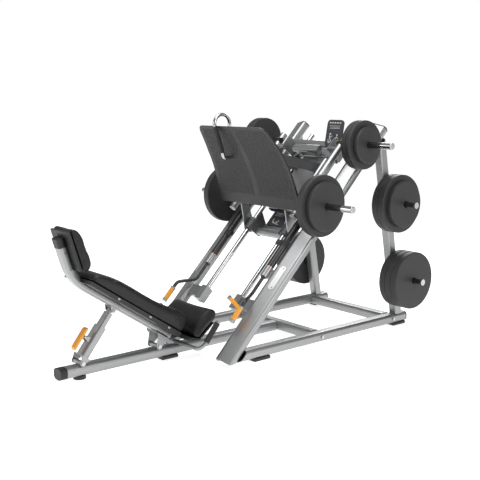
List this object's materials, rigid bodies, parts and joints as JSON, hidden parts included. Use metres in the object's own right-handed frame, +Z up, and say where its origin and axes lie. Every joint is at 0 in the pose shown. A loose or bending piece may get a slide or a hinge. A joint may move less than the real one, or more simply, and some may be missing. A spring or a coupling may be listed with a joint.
{
  "type": "leg press machine",
  "caption": "Plate-loaded angled leg press: sliding footplate carriage on guide rods, stop handles, reclining padded seat on a telescopic strut, and loaded weight plates.",
  "frame": {"origin": "centre of the bounding box on the floor", "axes": "+Z up, +X to the seated user's right, +Y from the seat towards the storage posts"},
  "size_m": [1.696, 2.9831, 1.715],
  "materials": {
    "silver_paint": "satin metallic",
    "graphite_paint": "satin",
    "black_paint": "satin",
    "chrome": "polished",
    "black_plastic": "matte",
    "black_rubber": "matte",
    "upholstery": "soft satin",
    "orange_plastic": "satin",
    "sign_board": "matte"
  },
  "bodies": {
    "frame": {"spine_tube": "silver_paint", "base_rails": "silver_paint", "cross_tubes": "silver_paint", "uprights": "silver_paint", "frame_end_caps": "black_plastic", "rubber_feet": "black_rubber", "guide_rods": "chrome", "rod_brackets": "silver_paint", "top_crossbar": "silver_paint", "storage_posts": "silver_paint", "storage_horns": "black_paint", "storage_horn_tips": "chrome", "pivot_tubes": "silver_paint", "pivot_bolts": "chrome", "stop_bearings": "silver_paint", "badge_plates": "silver_paint", "placard": "sign_board", "frame_bolts": "chrome"},
    "carriage": {"carriage_side_tubes": "silver_paint", "carriage_crossbars": "silver_paint", "carriage_webs": "silver_paint", "bearing_housings": "graphite_paint", "guide_bushings": "black_plastic", "footplate": "black_plastic", "carriage_gussets": "graphite_paint", "back_panel": "silver_paint", "front_bar": "silver_paint", "horn_sleeves": "black_paint", "horn_tips": "chrome", "grab_handle": "chrome", "grab_grip": "black_rubber", "instruction_panel": "sign_board", "panel_bracket": "silver_paint"},
    "left_stop": {"left_stop_tube": "black_paint", "left_stop_sleeve": "black_paint", "left_stop_grip": "orange_plastic"},
    "right_stop": {"right_stop_tube": "black_paint", "right_stop_sleeve": "black_paint", "right_stop_grip": "orange_plastic"},
    "seat": {"seat_back_tube": "silver_paint", "seat_tube_caps": "black_plastic", "back_pad": "upholstery", "head_pad": "upholstery", "seat_pad": "upholstery", "pad_trays": "black_plastic", "seat_yoke": "silver_paint", "grip_tube": "silver_paint", "hand_grips": "black_rubber", "strut_top_bracket": "silver_paint"},
    "strut_outer": {"strut_sleeve": "silver_paint"},
    "strut_rod": {"strut_inner": "silver_paint"},
    "lever": {"release_lever": "orange_plastic"},
    "left_lower_plates": {"left_lower_plates": "black_rubber"},
    "left_upper_plates": {"left_upper_plates": "black_rubber"},
    "left_mid_stored_plates": {"left_mid_stored_plates": "black_rubber"},
    "left_low_stored_plates": {"left_low_stored_plates": "black_rubber"},
    "right_lower_plates": {"right_lower_plates": "black_rubber"},
    "right_upper_plates": {"right_upper_plates": "black_rubber"},
    "right_mid_stored_plates": {"right_mid_stored_plates": "black_rubber"},
    "right_low_stored_plates": {"right_low_stored_plates": "black_rubber"}
  },
  "joints": [
    {"name": "carriage_slide", "type": "slide", "parent": "frame", "child": "carriage", "axis": [0, 0.7009, 0.7133], "range_m": [-0.46, 0.01]},
    {"name": "left_stop_turn", "type": "hinge", "parent": "frame", "child": "left_stop", "pos_m": [-0.328, 0.21033, 0.77473], "axis": [0, 0.7009, 0.7133], "range_deg": [0, 40]},
    {"name": "right_stop_turn", "type": "hinge", "parent": "frame", "child": "right_stop", "pos_m": [0.328, 0.21033, 0.77473], "axis": [0, 0.7009, 0.7133], "range_deg": [-40, 0]},
    {"name": "seat_recline", "type": "hinge", "parent": "frame", "child": "seat", "pos_m": [0, -0.73, 0.112], "axis": [1, 0, 0], "range_deg": [0, 10]},
    {"name": "strut_swing", "type": "hinge", "parent": "frame", "child": "strut_outer", "pos_m": [0, -1.333, 0.112], "axis": [1, 0, 0], "range_deg": [-1, 1]},
    {"name": "strut_extend", "type": "slide", "parent": "strut_outer", "child": "strut_rod", "axis": [0, 0.6241, 0.7814], "range_m": [-0.086, 0]},
    {"name": "lever_turn", "type": "hinge", "parent": "strut_outer", "child": "lever", "pos_m": [0, -1.29409, 0.27929], "axis": [1, 0, 0], "range_deg": [-15, 0], "stiffness_Nm_per_rad": 0.6, "springref_deg": 6.88},
    {"name": "left_lower_plate_slide", "type": "slide", "parent": "carriage", "child": "left_lower_plates", "axis": [-1, 0, 0], "range_m": [0, 0.36]},
    {"name": "left_upper_plate_slide", "type": "slide", "parent": "carriage", "child": "left_upper_plates", "axis": [-1, 0, 0], "range_m": [0, 0.36]},
    {"name": "left_mid_stored_plate_slide", "type": "slide", "parent": "frame", "child": "left_mid_stored_plates", "axis": [-1, 0, 0], "range_m": [0, 0.27]},
    {"name": "left_low_stored_plate_slide", "type": "slide", "parent": "frame", "child": "left_low_stored_plates", "axis": [-1, 0, 0], "range_m": [0, 0.27]},
    {"name": "right_lower_plate_slide", "type": "slide", "parent": "carriage", "child": "right_lower_plates", "axis": [1, 0, 0], "range_m": [0, 0.36]},
    {"name": "right_upper_plate_slide", "type": "slide", "parent": "carriage", "child": "right_upper_plates", "axis": [1, 0, 0], "range_m": [0, 0.36]},
    {"name": "right_mid_stored_plate_slide", "type": "slide", "parent": "frame", "child": "right_mid_stored_plates", "axis": [1, 0, 0], "range_m": [0, 0.27]},
    {"name": "right_low_stored_plate_slide", "type": "slide", "parent": "frame", "child": "right_low_stored_plates", "axis": [1, 0, 0], "range_m": [0, 0.27]}
  ],
  "couplings": [
    {"joint": "strut_swing", "follows": "seat_recline", "ratio": -0.0296},
    {"joint": "strut_extend", "follows": "seat_recline", "m_per_rad": -0.4711}
  ]
}
